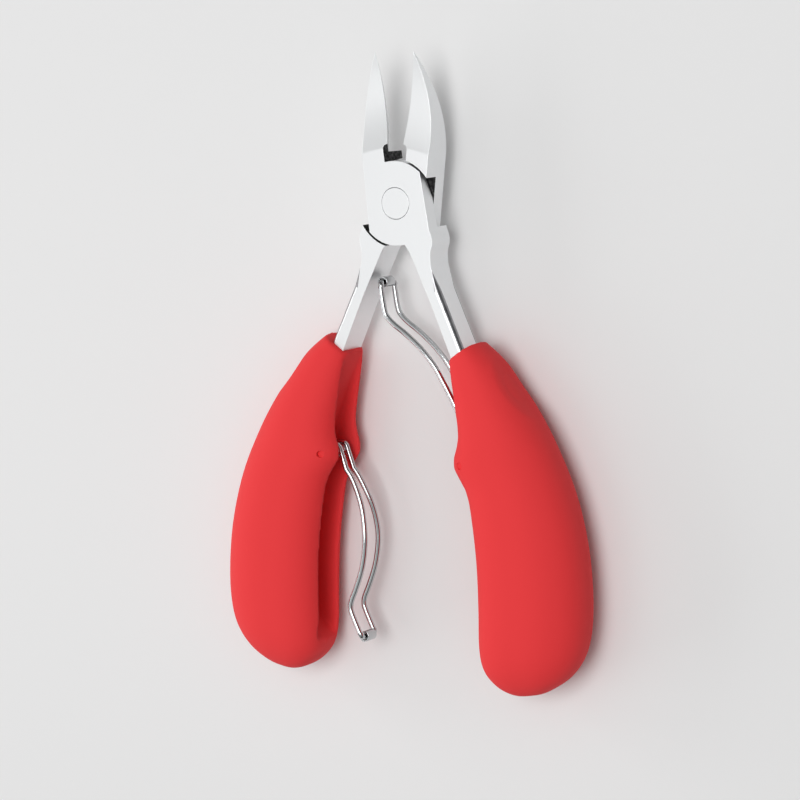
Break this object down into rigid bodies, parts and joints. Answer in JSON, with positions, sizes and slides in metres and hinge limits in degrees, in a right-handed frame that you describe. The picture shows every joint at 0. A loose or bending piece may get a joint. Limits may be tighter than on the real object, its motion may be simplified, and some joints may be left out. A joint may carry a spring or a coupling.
{
  "type": "toenail nipper",
  "caption": "Pliers-type toenail nipper with pointed concave jaws on a flush rivet, long moulded grips, and a hairpin return spring pinned in each grip.",
  "frame": {"origin": "middle of the bounding box's underside; the tool lies on its back and the pivot axis lies in the YZ plane", "axes": "+Z along the pivot rivet, out of the front face; +Y towards the jaw tips; +X across the handles, to the front lever's grip"},
  "size_m": [0.0896, 0.1386, 0.018],
  "materials": {
    "forged_steel": "fine satin polish",
    "spring_wire": "bright drawn wire",
    "grip_red": "smooth, soft sheen"
  },
  "bodies": {
    "front_half": {"front_lever": "forged_steel", "right_grip": "grip_red", "pivot_rivet": "forged_steel", "right_spring_pin": "forged_steel"},
    "rear_half": {"rear_lever": "forged_steel", "left_grip": "grip_red", "left_spring_pin": "forged_steel"},
    "right_hairpin": {"right_spring": "spring_wire"},
    "left_hairpin": {"left_spring": "spring_wire"},
    "right_roller": {"right_spring_sleeve": "spring_wire"},
    "left_roller": {"left_spring_sleeve": "spring_wire"}
  },
  "joints": [
    {"name": "jaw_pivot", "type": "hinge", "parent": "front_half", "child": "rear_half", "pos_m": [0, 0.03662, 0.009], "axis": [0, 0, 1], "range_deg": [0, 16], "stiffness_Nm_per_rad": 0.8, "springref_deg": -6.88},
    {"name": "right_spring_swing", "type": "hinge", "parent": "front_half", "child": "right_hairpin", "pos_m": [0.0175, -0.01889, 0.009], "axis": [0, 0, 1], "range_deg": [-7.5, 0]},
    {"name": "left_spring_swing", "type": "hinge", "parent": "rear_half", "child": "left_hairpin", "pos_m": [-0.0175, -0.01889, 0.009], "axis": [0, 0, 1], "range_deg": [-10, 1.5]},
    {"name": "right_sleeve_roll", "type": "hinge", "parent": "right_hairpin", "child": "right_roller", "pos_m": [-0.00464, 0.01914, 0.009], "axis": [0, 0, 1], "continuous": true},
    {"name": "left_sleeve_roll", "type": "hinge", "parent": "left_hairpin", "child": "left_roller", "pos_m": [-0.01015, -0.06014, 0.009], "axis": [0, 0, 1], "continuous": true}
  ],
  "couplings": [
    {"joint": "right_spring_swing", "follows": "jaw_pivot", "ratio": -0.44}
  ]
}
